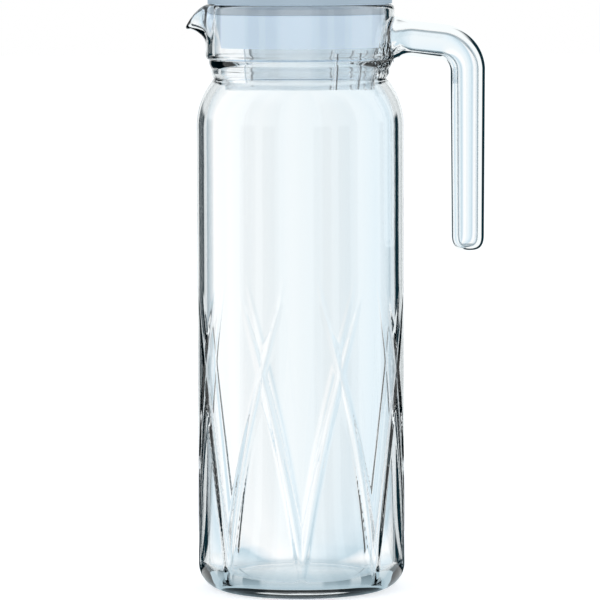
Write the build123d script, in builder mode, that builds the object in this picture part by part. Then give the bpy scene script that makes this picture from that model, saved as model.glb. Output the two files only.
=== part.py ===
from build123d import *
from math import acos, atan, cos, degrees, hypot, radians, sin, sqrt
import os

# Glass jug with a push-in lid, in millimetres.
# The origin is the middle of the flat base, +Z is up, +X points at the handle
# and -X at the pouring lip.

# Vessel
JUG_HEIGHT = 254.9
BODY_DIAMETER = 90.0
WALL = 3.8
FLOOR = 5.5
BASE_CORNER = 11.0
BASE_INNER_CORNER = 8.0
SHOULDER_RADIUS = 32.0

# Neck: a straight collar on a waist with two soft rings
COLLAR_DIAMETER = 81.8
COLLAR_HEIGHT = 23.9
NECK_BORE = 75.0
WAIST_DIAMETER = 74.8
WAIST_HEIGHT = 8.2
WAIST_BORE = 68.2
WAIST_RING_SWELL = 0.45
COLLAR_STEP = 1.5
THROAT_HEIGHT = 7.0

# Pouring lip, a drooping beak pulled out of the collar
LIP_REACH = 8.7
LIP_DROOP = 9.2
LIP_DEPTH = 15.0
LIP_HALF_WIDTH = 13.5
LIP_WALL = 2.8
LIP_TIP_HALF_WIDTH = 4.2
LIP_TIP_THICKNESS = 2.6
LIP_TIP_WALL = 1.9
LIP_SIDE_WALL = 1.6
LIP_CHANNEL_RISE = 1.0
# Stations along the lip: share of the way out, of the width and of the droop
LIP_STATIONS = [(0.0, 1.0, 0.0), (0.42, 0.78, 0.1), (0.78, 0.5, 0.46), (1.0, 0.0, 1.0)]

# Flutes: pairs that lean apart from eight points round the base
FLUTE_PAIRS = 8
FLUTE_FOOT_HEIGHT = 10.0
FLUTE_LENGTH = 123.0
FLUTE_LEAN = 13.0
FLUTE_BEND = 10.2
FLUTE_TOOL_RADIUS = 3.0
FLUTE_DEPTH = 0.55
FLUTE_FOOT_DEPTH = 0.8

# Handle, an open hook of solid glass fused to the collar
HANDLE_DROP = 14.2
HANDLE_ARM_SLOPE = 6.5
HANDLE_REACH = 73.0
HANDLE_LENGTH = 107.2
HANDLE_WIDTH = 17.0
HANDLE_THICKNESS = 15.0
HANDLE_BEND_RADIUS = 12.5
HANDLE_TIP_WIDTH = 15.8
HANDLE_TIP_THICKNESS = 13.8
HANDLE_TIP_ROUND = 5.0
HANDLE_ROOT_WIDTH = 27.0
HANDLE_ROOT_THICKNESS = 19.0
HANDLE_ROOT_FLARE = 7.0

# Lid
LID_GAP = 0.3
LID_DIAMETER = 80.0
LID_HEIGHT = 8.8
LID_WALL = 1.8
LID_TOP_RIM_WIDTH = 3.0
LID_TOP_RIM_HEIGHT = 1.2
LID_EDGE_ROUND = 1.0
PLUG_CLEARANCE = 0.5
PLUG_LENGTH = 18.8

# Soft ring in a groove of the plug
SEAL_HEIGHT = 3.0
SEAL_SECTION = 1.9
SEAL_DEPTH = 1.7
SEAL_PLAY = 0.08
SEAL_CLEARANCE = 0.3
SEAL_CHAMFER = 0.5

# The plug is cut back on two sides, so that the drink can pass it to the lip
RECESS_SETBACK = 4.7
RECESS_SLOPE = 10.0
RECESS_TOP_DEPTH = 6.2

# Strainer skirt under the plug
STRAINER_WALL = 1.4
STRAINER_COLLAR_HEIGHT = 4.0
STRAINER_COLLAR_PLAY = 0.05
STRAINER_SHOULDER = 0.85
STRAINER_THROAT_CLEARANCE = 1.6
STRAINER_LENGTH = 18.4
SLIT_COUNT = 7
SLIT_PITCH = 21.0
SLIT_WIDTH = 1.3
SLIT_HOOP = 2.2
WINDOW_HALF_ANGLE = 47.0
WINDOW_HOOP = 2.0

# How far a cutting shape runs past what it cuts
cut_margin = 2.0

# Heights and radii that follow from the sizes above
body_radius = BODY_DIAMETER / 2
collar_radius = COLLAR_DIAMETER / 2
neck_radius = NECK_BORE / 2
waist_radius = WAIST_DIAMETER / 2
throat_radius = WAIST_BORE / 2
collar_bottom = JUG_HEIGHT - COLLAR_HEIGHT
waist_height = collar_bottom - WAIST_HEIGHT
shoulder_drop = body_radius - waist_radius
shoulder_rise = sqrt(SHOULDER_RADIUS**2 - (SHOULDER_RADIUS - shoulder_drop) ** 2)
shoulder_height = waist_height - shoulder_rise
inner_radius = body_radius - WALL
lid_seat = JUG_HEIGHT + LID_GAP
lid_radius = LID_DIAMETER / 2
plug_radius = neck_radius - PLUG_CLEARANCE
plug_bottom = lid_seat - PLUG_LENGTH


# Flute tool: a round bar bent to the line of one flute, as a stretch of a ring.
# It follows the wall's own curve less a little, so that it lifts out at both
# ends, and bends sideways as it climbs.
flute_middle = FLUTE_FOOT_HEIGHT + FLUTE_LENGTH / 2
wall_curve = sin(radians(FLUTE_LEAN)) ** 2 / body_radius
lift_curve = 4 * (2 * FLUTE_DEPTH - FLUTE_FOOT_DEPTH) / FLUTE_LENGTH**2
side_curve = radians(FLUTE_BEND) / FLUTE_LENGTH
bar_curve = hypot(wall_curve - lift_curve, side_curve)
bar_radius = 1 / bar_curve
foot_turn = degrees(FLUTE_LENGTH * sin(radians(FLUTE_LEAN - FLUTE_BEND / 4)) / 2 / body_radius)
foot_tilt = degrees(atan(FLUTE_FOOT_DEPTH / FLUTE_LENGTH))

wall_point = Plane(
    origin=(
        body_radius * cos(radians(foot_turn)),
        body_radius * sin(radians(foot_turn)),
        flute_middle,
    ),
    x_dir=(-sin(radians(foot_turn)), cos(radians(foot_turn)), 0),
    z_dir=(cos(radians(foot_turn)), sin(radians(foot_turn)), 0),
)
along = wall_point.y_dir * cos(radians(FLUTE_LEAN)) + wall_point.x_dir * sin(radians(FLUTE_LEAN))
along = along * cos(radians(foot_tilt)) + wall_point.z_dir * sin(radians(foot_tilt))
sideways = wall_point.x_dir * cos(radians(FLUTE_LEAN)) - wall_point.y_dir * sin(radians(FLUTE_LEAN))
inward = sideways.cross(along)
if inward.dot(wall_point.z_dir) > 0:
    inward = -inward
to_centre = (inward * (wall_curve - lift_curve) + sideways * side_curve).normalized()
bar_middle = wall_point.origin + wall_point.z_dir * (FLUTE_TOOL_RADIUS - FLUTE_DEPTH)
bar_centre = bar_middle + to_centre * bar_radius
half_sweep = degrees((FLUTE_LENGTH / 2 + FLUTE_FOOT_HEIGHT) / bar_radius)

with BuildPart() as flute_tool:
    ring_plane = Plane(origin=bar_centre, x_dir=-to_centre, z_dir=(-to_centre).cross(along))
    with BuildLine(ring_plane) as bar_line:
        CenterArc((0, 0), bar_radius, -half_sweep, 2 * half_sweep)
    with BuildSketch(Plane(origin=bar_line.line @ 0, z_dir=bar_line.line % 0)):
        Circle(FLUTE_TOOL_RADIUS)
    sweep()

with BuildPart() as mirrored_flute_tool:
    add(flute_tool.part)
    mirror(about=Plane.XZ, mode=Mode.REPLACE)


# Space inside the vessel, from the floor up through the neck
throat_drop = inner_radius - throat_radius
inner_shoulder_radius = SHOULDER_RADIUS - WALL
throat_rise = sqrt(inner_shoulder_radius**2 - (inner_shoulder_radius - throat_drop) ** 2)
throat_start = shoulder_height + throat_rise
throat_turn = degrees(acos((inner_shoulder_radius - throat_drop) / inner_shoulder_radius))

with BuildPart() as cavity:
    with BuildSketch(Plane.XZ):
        with BuildLine():
            floor_line = Line((0, FLOOR), (inner_radius - BASE_INNER_CORNER, FLOOR))
            floor_bend = JernArc(floor_line @ 1, (1, 0), BASE_INNER_CORNER, 90)
            inner_side = Line(floor_bend @ 1, (inner_radius, shoulder_height))
            inner_shoulder = JernArc(inner_side @ 1, (0, 1), inner_shoulder_radius, throat_turn)
            throat_top = (throat_radius + WAIST_RING_SWELL, throat_start + THROAT_HEIGHT)
            throat = Line(inner_shoulder @ 1, throat_top)
            ledge = Line(throat @ 1, (neck_radius, collar_bottom + COLLAR_STEP))
            bore = Line(ledge @ 1, (neck_radius, JUG_HEIGHT + cut_margin))
            mouth = Line(bore @ 1, (0, JUG_HEIGHT + cut_margin))
            Line(mouth @ 1, floor_line @ 0)
        make_face()
    revolve(axis=Axis.Z)


# Pouring lip: half-ellipse sections that shrink and droop towards the tip
lip_root = collar_radius - LIP_WALL
lip_span = collar_radius + LIP_REACH - lip_root
lip_trim_size = 2 * (LIP_DEPTH + LIP_HALF_WIDTH)


def lip_half_width(width):
    return LIP_TIP_HALF_WIDTH + (LIP_HALF_WIDTH - LIP_TIP_HALF_WIDTH) * width


def lip_underside(out):
    return JUG_HEIGHT - LIP_DEPTH + (LIP_DEPTH - LIP_DROOP - LIP_TIP_THICKNESS) * sqrt(out)


with BuildPart() as lip_outside:
    for out, width, droop in LIP_STATIONS:
        top = JUG_HEIGHT - LIP_DROOP * droop
        with BuildSketch(Plane.YZ.offset(-lip_root - lip_span * out)):
            with Locations((0, top)):
                Ellipse(lip_half_width(width), top - lip_underside(out))
                Rectangle(
                    lip_trim_size,
                    lip_trim_size,
                    align=(Align.CENTER, Align.MIN),
                    mode=Mode.SUBTRACT,
                )
    loft()

with BuildPart() as lip_channel:
    for out, width, droop in LIP_STATIONS:
        top = JUG_HEIGHT - LIP_DROOP * droop + LIP_CHANNEL_RISE
        channel_floor = lip_underside(out) + LIP_WALL + (LIP_TIP_WALL - LIP_WALL) * out
        with BuildSketch(Plane.YZ.offset(-lip_root + LIP_WALL - (lip_span + 2 * LIP_WALL) * out)):
            with Locations((0, top)):
                Ellipse(lip_half_width(width) - LIP_SIDE_WALL, top - channel_floor)
                Rectangle(
                    lip_trim_size,
                    lip_trim_size,
                    align=(Align.CENTER, Align.MIN),
                    mode=Mode.SUBTRACT,
                )
    loft()

# Glass vessel
rim_round = (collar_radius - neck_radius) / 2
collar_foot_radius = collar_radius - COLLAR_STEP
ring_step = (collar_foot_radius - waist_radius) / 2
ring_radius = hypot(WAIST_HEIGHT, ring_step) ** 2 / (8 * 2 * WAIST_RING_SWELL)
shoulder_turn = degrees(acos((SHOULDER_RADIUS - shoulder_drop) / SHOULDER_RADIUS))

with BuildPart() as glass_body:
    with BuildSketch(Plane.XZ):
        with BuildLine():
            base = Line((0, 0), (body_radius - BASE_CORNER, 0))
            base_bend = JernArc(base @ 1, (1, 0), BASE_CORNER, 90)
            side = Line(base_bend @ 1, (body_radius, shoulder_height))
            shoulder = JernArc(side @ 1, (0, 1), SHOULDER_RADIUS, shoulder_turn)
            ring_join = (waist_radius + ring_step, waist_height + WAIST_HEIGHT / 2)
            collar_foot = (collar_foot_radius, collar_bottom)
            lower_ring = SagittaArc(shoulder @ 1, ring_join, -WAIST_RING_SWELL)
            upper_ring = SagittaArc(lower_ring @ 1, collar_foot, -WAIST_RING_SWELL)
            step = Line(upper_ring @ 1, (collar_radius, collar_bottom + COLLAR_STEP / 2))
            collar = Line(step @ 1, (collar_radius, JUG_HEIGHT - rim_round))
            rim = JernArc(collar @ 1, (0, 1), rim_round, 180)
            inner_face = Line(rim @ 1, (neck_radius, collar_bottom))
            inner_floor = Line(inner_face @ 1, (0, collar_bottom))
            Line(inner_floor @ 1, base @ 0)
        make_face()
    revolve(axis=Axis.Z)
    add(lip_outside.part)
    with PolarLocations(0, FLUTE_PAIRS):
        add(flute_tool.part, mode=Mode.SUBTRACT)
        add(mirrored_flute_tool.part, mode=Mode.SUBTRACT)
    add(cavity.part, mode=Mode.SUBTRACT)
    add(lip_channel.part, mode=Mode.SUBTRACT)


# Handle: an arm out of the collar, one bend, and a leg that tapers to a round end
arm_start = collar_radius + HANDLE_ROOT_FLARE
arm_fall = sin(radians(HANDLE_ARM_SLOPE)) / cos(radians(HANDLE_ARM_SLOPE))
arm_height = JUG_HEIGHT - HANDLE_DROP
arm_start_height = arm_height - HANDLE_ROOT_FLARE * arm_fall
corner_height = arm_height - (HANDLE_REACH - collar_radius) * arm_fall
leg_bottom = JUG_HEIGHT - HANDLE_LENGTH
leg_top = corner_height - HANDLE_BEND_RADIUS
root_half_width = HANDLE_ROOT_WIDTH / 2
root_plane_reach = sqrt(collar_radius**2 - root_half_width**2)

with BuildPart() as glass_handle:
    with BuildLine(Plane.XZ) as arm_line:
        FilletPolyline(
            (arm_start, arm_start_height),
            (HANDLE_REACH, corner_height),
            (HANDLE_REACH, leg_top),
            radius=HANDLE_BEND_RADIUS,
        )
    arm_plane = Plane(origin=arm_line.line @ 0, x_dir=(0, 1, 0), z_dir=arm_line.line % 0)
    with BuildSketch(arm_plane):
        Ellipse(HANDLE_WIDTH / 2, HANDLE_THICKNESS / 2)
    sweep()
    with BuildSketch(Plane.XY.offset(leg_top)):
        with Locations((HANDLE_REACH, 0)):
            Ellipse(HANDLE_THICKNESS / 2, HANDLE_WIDTH / 2)
    with BuildSketch(Plane.XY.offset(leg_bottom)):
        with Locations((HANDLE_REACH, 0)):
            Ellipse(HANDLE_TIP_THICKNESS / 2, HANDLE_TIP_WIDTH / 2)
    loft()
    fillet(glass_handle.edges().sort_by(Axis.Z)[0], radius=HANDLE_TIP_ROUND)
    with BuildSketch(Plane.YZ.offset(root_plane_reach - cut_margin)):
        with Locations((0, arm_height)):
            Ellipse(root_half_width, HANDLE_ROOT_THICKNESS / 2)
    with BuildSketch(arm_plane):
        Ellipse(HANDLE_WIDTH / 2, HANDLE_THICKNESS / 2)
    loft()
    with BuildSketch():
        Circle(collar_radius)
    extrude(amount=JUG_HEIGHT, mode=Mode.SUBTRACT)


# Soft ring, and the groove that holds it in the plug
seal_top = lid_seat - SEAL_DEPTH
seal_radius = neck_radius - SEAL_CLEARANCE
seal_inner_radius = seal_radius - SEAL_SECTION
groove_radius = seal_inner_radius - SEAL_PLAY
groove_top = seal_top + SEAL_PLAY
groove_bottom = seal_top - SEAL_HEIGHT - SEAL_PLAY

with BuildPart() as lid_seal:
    with BuildSketch(Plane.XZ):
        with Locations((seal_inner_radius, seal_top)):
            Rectangle(SEAL_SECTION, SEAL_HEIGHT, align=(Align.MIN, Align.MAX))
    revolve(axis=Axis.Z)
    chamfer(lid_seal.edges().group_by(SortBy.LENGTH)[-1], length=SEAL_CHAMFER)


# Tool that cuts the plug back on the lip's side and on the handle's side.
# The inset moves its face into the plug, for the inner side of the wall.
def recess_tool(inset):
    face_reach = plug_radius - RECESS_SETBACK
    outward = (-cos(radians(RECESS_SLOPE)), 0, -sin(radians(RECESS_SLOPE)))
    face = Plane(origin=(-face_reach, 0, plug_bottom), x_dir=(0, 1, 0), z_dir=outward).offset(-inset)
    climb = (lid_seat - RECESS_TOP_DEPTH - plug_bottom) / cos(radians(RECESS_SLOPE)) + inset
    with BuildPart() as tool:
        with BuildSketch(face):
            with Locations((0, cut_margin)):
                Rectangle(2 * plug_radius, climb + cut_margin, align=(Align.CENTER, Align.MAX))
        extrude(amount=2 * RECESS_SETBACK + inset)
        mirror(about=Plane.YZ)
    return tool.part


plug_inner_radius = plug_radius - LID_WALL
top_underside = lid_seat + LID_HEIGHT - LID_TOP_RIM_HEIGHT - LID_WALL

with BuildPart() as plug_hollow:
    with BuildSketch(Plane.XY.offset(plug_bottom - cut_margin)):
        Circle(plug_inner_radius)
    extrude(amount=groove_bottom - LID_WALL - plug_bottom + cut_margin)
    with BuildSketch(Plane.XY.offset(plug_bottom)):
        Circle(groove_radius - LID_WALL)
    extrude(amount=top_underside - plug_bottom)
    add(recess_tool(LID_WALL), mode=Mode.SUBTRACT)

with BuildPart() as lid_cap:
    with BuildSketch(Plane.XY.offset(lid_seat)):
        Circle(lid_radius)
    extrude(amount=LID_HEIGHT)
    fillet(lid_cap.edges().group_by(Axis.Z)[-1], radius=LID_EDGE_ROUND)
    with BuildSketch(Plane.XY.offset(lid_seat + LID_HEIGHT)):
        Circle(lid_radius - LID_TOP_RIM_WIDTH)
    extrude(amount=-LID_TOP_RIM_HEIGHT, mode=Mode.SUBTRACT)
    with BuildSketch(Plane.XY.offset(plug_bottom)):
        Circle(plug_radius)
    extrude(amount=PLUG_LENGTH)
    with BuildSketch(Plane.XY.offset(groove_bottom)):
        Circle(plug_radius + cut_margin)
        Circle(groove_radius, mode=Mode.SUBTRACT)
    extrude(amount=groove_top - groove_bottom, mode=Mode.SUBTRACT)
    add(recess_tool(0), mode=Mode.SUBTRACT)
    add(plug_hollow.part, mode=Mode.SUBTRACT)


# Strainer: a collar pushed into the plug and a tapered skirt with slits
strainer_radius = plug_inner_radius - STRAINER_COLLAR_PLAY
skirt_top_radius = strainer_radius - STRAINER_SHOULDER
skirt_bottom_radius = throat_radius - STRAINER_THROAT_CLEARANCE
skirt_bottom = plug_bottom - STRAINER_LENGTH
window_reach = 2 * plug_radius
window_half_width = window_reach * sin(radians(WINDOW_HALF_ANGLE)) / cos(radians(WINDOW_HALF_ANGLE))
slit_span = SLIT_PITCH * (SLIT_COUNT - 1)
slit_cut = 2 * (skirt_top_radius - skirt_bottom_radius + STRAINER_WALL + cut_margin)

with BuildPart() as strainer:
    with BuildSketch(Plane.XY.offset(plug_bottom)):
        Circle(strainer_radius)
        Circle(strainer_radius - STRAINER_WALL, mode=Mode.SUBTRACT)
    extrude(amount=STRAINER_COLLAR_HEIGHT)
    add(recess_tool(LID_WALL + STRAINER_COLLAR_PLAY), mode=Mode.SUBTRACT)
    with BuildSketch(Plane.XZ):
        Polygon(
            (skirt_bottom_radius, skirt_bottom),
            (skirt_top_radius, plug_bottom),
            (skirt_top_radius - STRAINER_WALL, plug_bottom),
            (skirt_bottom_radius - STRAINER_WALL, skirt_bottom),
            align=None,
        )
    revolve(axis=Axis.Z)
    with BuildSketch(Plane.XY.offset(skirt_bottom + WINDOW_HOOP)):
        Polygon(
            (0, 0),
            (-window_reach, window_half_width),
            (-window_reach, -window_half_width),
            align=None,
        )
    extrude(amount=STRAINER_LENGTH + STRAINER_COLLAR_HEIGHT, mode=Mode.SUBTRACT)
    with BuildSketch(Plane.XY.offset(skirt_bottom - cut_margin)):
        with PolarLocations(skirt_top_radius, SLIT_COUNT, -slit_span / 2, slit_span, endpoint=True):
            Rectangle(slit_cut, SLIT_WIDTH)
    extrude(amount=STRAINER_LENGTH - SLIT_HOOP + cut_margin, mode=Mode.SUBTRACT)


os.makedirs("parts", exist_ok=True)
pieces = {
    "glass_body": glass_body,
    "glass_handle": glass_handle,
    "lid_cap": lid_cap,
    "strainer": strainer,
    "lid_seal": lid_seal,
}
for name, piece in pieces.items():
    piece.part.label = name
    export_step(piece.part, f"parts/{name}.step")
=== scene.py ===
# %% [markdown]
# # A glass jug with a push-in lid
#
# The jug stands at the origin on its flat base, with its handle towards +X and its pouring lip
# towards -X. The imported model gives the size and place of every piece. Each cell below adds one
# piece or one finish, and says why it is made that way. The shapes are written in millimetres, as
# a drawing has them, and the MM factor turns them into Blender's metres. The studio is in metres.

# %% Load the frame
import math

import bpy
import numpy as np
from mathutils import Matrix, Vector


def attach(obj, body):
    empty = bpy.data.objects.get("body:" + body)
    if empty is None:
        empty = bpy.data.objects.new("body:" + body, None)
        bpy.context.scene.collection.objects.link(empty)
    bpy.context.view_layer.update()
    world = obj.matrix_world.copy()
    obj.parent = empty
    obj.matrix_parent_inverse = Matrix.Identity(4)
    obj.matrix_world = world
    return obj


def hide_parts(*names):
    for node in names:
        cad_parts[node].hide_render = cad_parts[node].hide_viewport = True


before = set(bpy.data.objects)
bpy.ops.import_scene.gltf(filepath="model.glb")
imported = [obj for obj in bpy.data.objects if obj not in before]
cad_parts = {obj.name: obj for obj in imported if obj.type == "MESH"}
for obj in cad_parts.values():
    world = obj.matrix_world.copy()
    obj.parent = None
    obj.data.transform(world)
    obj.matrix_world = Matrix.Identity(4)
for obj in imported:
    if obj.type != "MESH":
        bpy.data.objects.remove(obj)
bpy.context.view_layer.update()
MM = 0.001

# %% [markdown]
# ## The camera
#
# The photograph was taken with a long lens, a little above the rim. The base shows as a flat
# ellipse and the rim as an almost straight line, which puts the lens nearly two metres away and
# a few centimetres over the lid. The picture leans by a fifth of a degree, and so does the camera.
# A short lens close by would give the same size of jug, but a rim that curves far more.

# %% Camera
CAMERA_DISTANCE = 1.9
CAMERA_HEIGHT = 0.288
CAMERA_LENS = 262.5
CAMERA_AIM = 0.1262
CAMERA_SIDE = 0.0002
CAMERA_ROLL = math.radians(0.2)
CAMERA_CLIP = (0.05, 60)

camera_data = bpy.data.cameras.new("camera")
camera_data.lens = CAMERA_LENS
camera_data.clip_start, camera_data.clip_end = CAMERA_CLIP
camera = bpy.data.objects.new("camera", camera_data)
bpy.context.scene.collection.objects.link(camera)
camera.location = (CAMERA_SIDE, -CAMERA_DISTANCE, CAMERA_HEIGHT)
pitch = math.atan2(CAMERA_HEIGHT - CAMERA_AIM, CAMERA_DISTANCE)
camera.rotation_mode = "XYZ"
camera.rotation_euler = (math.pi / 2 - pitch, CAMERA_ROLL, 0)
bpy.context.scene.camera = camera
bpy.context.scene.view_settings.view_transform = "Standard"
print("camera looks down by", round(math.degrees(pitch), 2), "degrees")

# %% [markdown]
# ## Small helpers for node trees
#
# The world, every material and the flutes are node trees. A node could be added with three or
# four lines each time. These helpers add a node, link what goes into it and hand back what comes
# out, so that the cells below read like arithmetic. The maths nodes work in shader trees and in
# geometry trees alike.

# %% Node helpers
MIX_FIRST, MIX_SECOND, MIX_RESULT = 6, 7, 2  # the colour sockets of the Mix node


def add_node(tree, kind, **settings):
    node = tree.nodes.new(kind)
    for name, value in settings.items():
        setattr(node, name, value)
    return node


def plug(tree, socket, value):
    """Links an output to the socket, or writes a plain value on it."""
    if isinstance(value, bpy.types.NodeSocket):
        tree.links.new(value, socket)
    else:
        socket.default_value = value


def math_step(tree, operation, *values):
    node = add_node(tree, "ShaderNodeMath", operation=operation)
    for socket, value in zip(node.inputs, values):
        plug(tree, socket, value)
    return node.outputs[0]


def vector_step(tree, operation, vector, other=None):
    node = add_node(tree, "ShaderNodeVectorMath", operation=operation)
    plug(tree, node.inputs[0], vector)
    if other is not None:
        plug(tree, node.inputs["Scale"] if operation == "SCALE" else node.inputs[1], other)
    return node.outputs["Value"] if operation == "LENGTH" else node.outputs["Vector"]


def split_vector(tree, vector):
    """The X, Y and Z outputs of a vector."""
    node = add_node(tree, "ShaderNodeSeparateXYZ")
    tree.links.new(vector, node.inputs[0])
    return node.outputs


# %% Helpers for soft changes
def map_value(tree, value, *limits):
    """A straight, clamped change from the first two limits to the last two."""
    node = add_node(tree, "ShaderNodeMapRange")
    names = ("Value", "From Min", "From Max", "To Min", "To Max")
    for name, limit in zip(names, (value, *limits)):
        plug(tree, node.inputs[name], limit)
    return node.outputs["Result"]


def smooth_step(tree, value, low, high):
    """Goes softly from 0 to 1 between the two limits."""
    node = add_node(tree, "ShaderNodeMapRange", interpolation_type="SMOOTHSTEP")
    plug(tree, node.inputs["Value"], value)
    node.inputs["From Min"].default_value = low
    node.inputs["From Max"].default_value = high
    return node.outputs["Result"]


def soft_band(tree, value, begins, ends):
    """Rises to 1 over the first pair of limits and falls back to 0 over the second."""
    rise = smooth_step(tree, value, *begins)
    return math_step(tree, "SUBTRACT", rise, smooth_step(tree, value, *ends))


def mix_colour(tree, factor, first, second):
    node = add_node(tree, "ShaderNodeMix", data_type="RGBA")
    plug(tree, node.inputs["Factor"], factor)
    plug(tree, node.inputs[MIX_FIRST], first)
    plug(tree, node.inputs[MIX_SECOND], second)
    return node.outputs[MIX_RESULT]


# %% [markdown]
# ## What the glass shows
#
# Clear glass has no look of its own: it shows what stands round it. A product photographer sets
# the glass before a pale sheet and hangs dark cards beside it, so that the edges come out as crisp
# dark lines. One could model the sheet and the cards as planes, but they would have to stand
# right for every view. Here one helper gives their colours for a compass direction, three of
# them. The first is the sheet, seen straight through the glass: white on one side and pale
# blue-grey on the other. The second is what the inner side of the wall mirrors: two dark cards, one
# nearer to the line of sight than the other. The third is what the outer skin mirrors: wider
# cards. The sheet repeats every 45 degrees and the cards every 90, so the jug looks alike from
# its four sides.

# %% Sheet and cards
WHITE = (1.0, 1.0, 1.0, 1)
CARD_LIGHT = (0.95, 0.99, 1.0, 1)
CARD_DARK = (0.004, 0.022, 0.032, 1)
CARD_PERIOD = math.radians(90)
LEFT_CARD = (math.radians(15), math.radians(36))
RIGHT_CARD = (math.radians(-46), math.radians(-30))
SKIN_CARD_FROM = math.radians(24)
CARD_EDGE = math.radians(2)
SHEET_PERIOD = math.radians(45)
SHEET_GAIN = 1.08
SHEET_STOPS = [
    (0.0, (0.56, 0.70, 0.78, 1)),
    (0.28, (0.74, 0.84, 0.90, 1)),
    (0.5, (0.835, 0.88, 0.90, 1)),
    (0.66, (0.97, 0.98, 0.985, 1)),
    (0.78, (1.0, 1.0, 1.0, 1)),
    (0.92, (0.80, 0.87, 0.92, 1)),
    (1.0, (0.56, 0.70, 0.78, 1)),
]


def wrapped(tree, angle, period):
    """The angle plus half a period, brought back to between nothing and one period."""
    half = math_step(tree, "MULTIPLY", period, 0.5)
    return math_step(tree, "FLOORED_MODULO", math_step(tree, "ADD", angle, half), period)


def card_edge(angle):
    return angle - CARD_EDGE, angle + CARD_EDGE


def sheet_colour(tree, azimuth):
    ramp = add_node(tree, "ShaderNodeValToRGB")
    turned = wrapped(tree, azimuth, SHEET_PERIOD)
    tree.links.new(math_step(tree, "DIVIDE", turned, SHEET_PERIOD), ramp.inputs[0])
    stops = ramp.color_ramp.elements
    for stop, (position, colour) in zip(stops, (SHEET_STOPS[0], SHEET_STOPS[-1])):
        stop.position = position
        stop.color = colour
    for position, colour in SHEET_STOPS[1:-1]:
        stops.new(position).color = colour
    return vector_step(tree, "SCALE", ramp.outputs["Color"], SHEET_GAIN)


def studio_round(tree, x, y):
    """The colours of the sheet, the cards and the outer cards in the compass direction (x, y)."""
    azimuth = math_step(tree, "ARCTAN2", y, x)
    off = math_step(tree, "SUBTRACT", wrapped(tree, azimuth, CARD_PERIOD), CARD_PERIOD / 2)
    left, right = (
        soft_band(tree, off, card_edge(begin), card_edge(end))
        for begin, end in (LEFT_CARD, RIGHT_CARD)
    )
    cards = mix_colour(tree, math_step(tree, "ADD", left, right), CARD_LIGHT, CARD_DARK)
    skin = smooth_step(tree, math_step(tree, "ABSOLUTE", off), *card_edge(SKIN_CARD_FROM))
    return sheet_colour(tree, azimuth), cards, mix_colour(tree, skin, CARD_LIGHT, CARD_DARK)


print("cards every", round(math.degrees(CARD_PERIOD)), "degrees")

# %% [markdown]
# ## Which picture a ray gets
#
# Blender's Light Path node counts how often a ray went through a surface and how often it was
# mirrored. A ray that is mirrored once inside the near wall has gone in and out of glass, so it
# counts two passes and one mirror: it shows the cards. A ray that is mirrored off the outer skin
# counts no pass, and one that is mirrored three times or more is deep in an edge: both show the
# outer cards. Every other ray that met glass shows the sheet. No node asks where the camera is,
# so the picture holds in every view.

# %% Stories of rays
HALF = 0.5  # the counts are whole numbers, so they are told apart at the halves


def is_count(tree, count, number):
    return math_step(tree, "COMPARE", count, number, HALF)


def more_than(tree, count, number):
    return math_step(tree, "GREATER_THAN", count, number + HALF)


def ray_story(tree):
    """Shares for a ray that met glass, shows the cards or the outer cards, or was scattered."""
    path = add_node(tree, "ShaderNodeLightPath").outputs
    through, mirrors = path["Transmission Depth"], path["Glossy Depth"]
    met_glass = math_step(
        tree, "MAXIMUM", more_than(tree, through, 0), more_than(tree, mirrors, 0)
    )
    near_wall = math_step(
        tree, "MULTIPLY", is_count(tree, through, 2.0), is_count(tree, mirrors, 1.0)
    )
    skin = math_step(tree, "MULTIPLY", is_count(tree, through, 0.0), mirrors)
    skin = math_step(tree, "MINIMUM", skin, 1.0)
    outer_cards = math_step(tree, "MAXIMUM", skin, more_than(tree, mirrors, 2))
    scattered = more_than(tree, path["Diffuse Depth"], 0)
    return met_glass, near_wall, outer_cards, scattered


# %% [markdown]
# ## The world
#
# The world is the studio round the table. Looked at directly it is white, as the photograph's
# background is. Rays that met glass get one of the three pictures. Scattered rays get plain soft
# light, twice as strong from the sides as from above, so that the milky lid is bright all round
# and its top keeps some shading. High up there are no cards, and rays that a ledge in the glass
# throws upwards pass over them too. A picture file of a studio could light the jug as well, but
# it would show the same picture to every ray.

# %% World
AMBIENT_SIDE = (1.00, 1.06, 1.12, 1)
AMBIENT_TOP = (0.46, 0.48, 0.50, 1)
HIGH_UP = (0.5, 0.8)
OVER_THE_CARDS = (0.03, 0.09)

world = bpy.data.worlds.new("studio")
bpy.context.scene.world = world
world.use_nodes = True
sky = world.node_tree
sky.nodes.clear()
direction = split_vector(sky, add_node(sky, "ShaderNodeTexCoord").outputs["Generated"])
sheet, cards, skin_cards = studio_round(sky, direction["X"], direction["Y"])
high_up = smooth_step(sky, direction["Z"], *HIGH_UP)
climbs = smooth_step(sky, direction["Z"], *OVER_THE_CARDS)
cards = mix_colour(sky, climbs, cards, CARD_LIGHT)
skin_cards = mix_colour(sky, high_up, skin_cards, CARD_LIGHT)
sheet = mix_colour(sky, high_up, sheet, WHITE)
ambient = mix_colour(sky, high_up, AMBIENT_SIDE, AMBIENT_TOP)

met_glass, shows_cards, shows_skin, scattered = ray_story(sky)
seen = mix_colour(sky, met_glass, ambient, sheet)
seen = mix_colour(sky, shows_cards, seen, cards)
seen = mix_colour(sky, shows_skin, seen, skin_cards)
seen = mix_colour(sky, scattered, seen, ambient)
camera_ray = add_node(sky, "ShaderNodeLightPath").outputs["Is Camera Ray"]
seen = mix_colour(sky, camera_ray, seen, WHITE)
background = add_node(sky, "ShaderNodeBackground")
sky.links.new(seen, background.inputs["Color"])
sky_out = add_node(sky, "ShaderNodeOutputWorld")
sky.links.new(background.outputs[0], sky_out.inputs[0])
print("world tree:", len(sky.nodes), "nodes")

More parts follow.
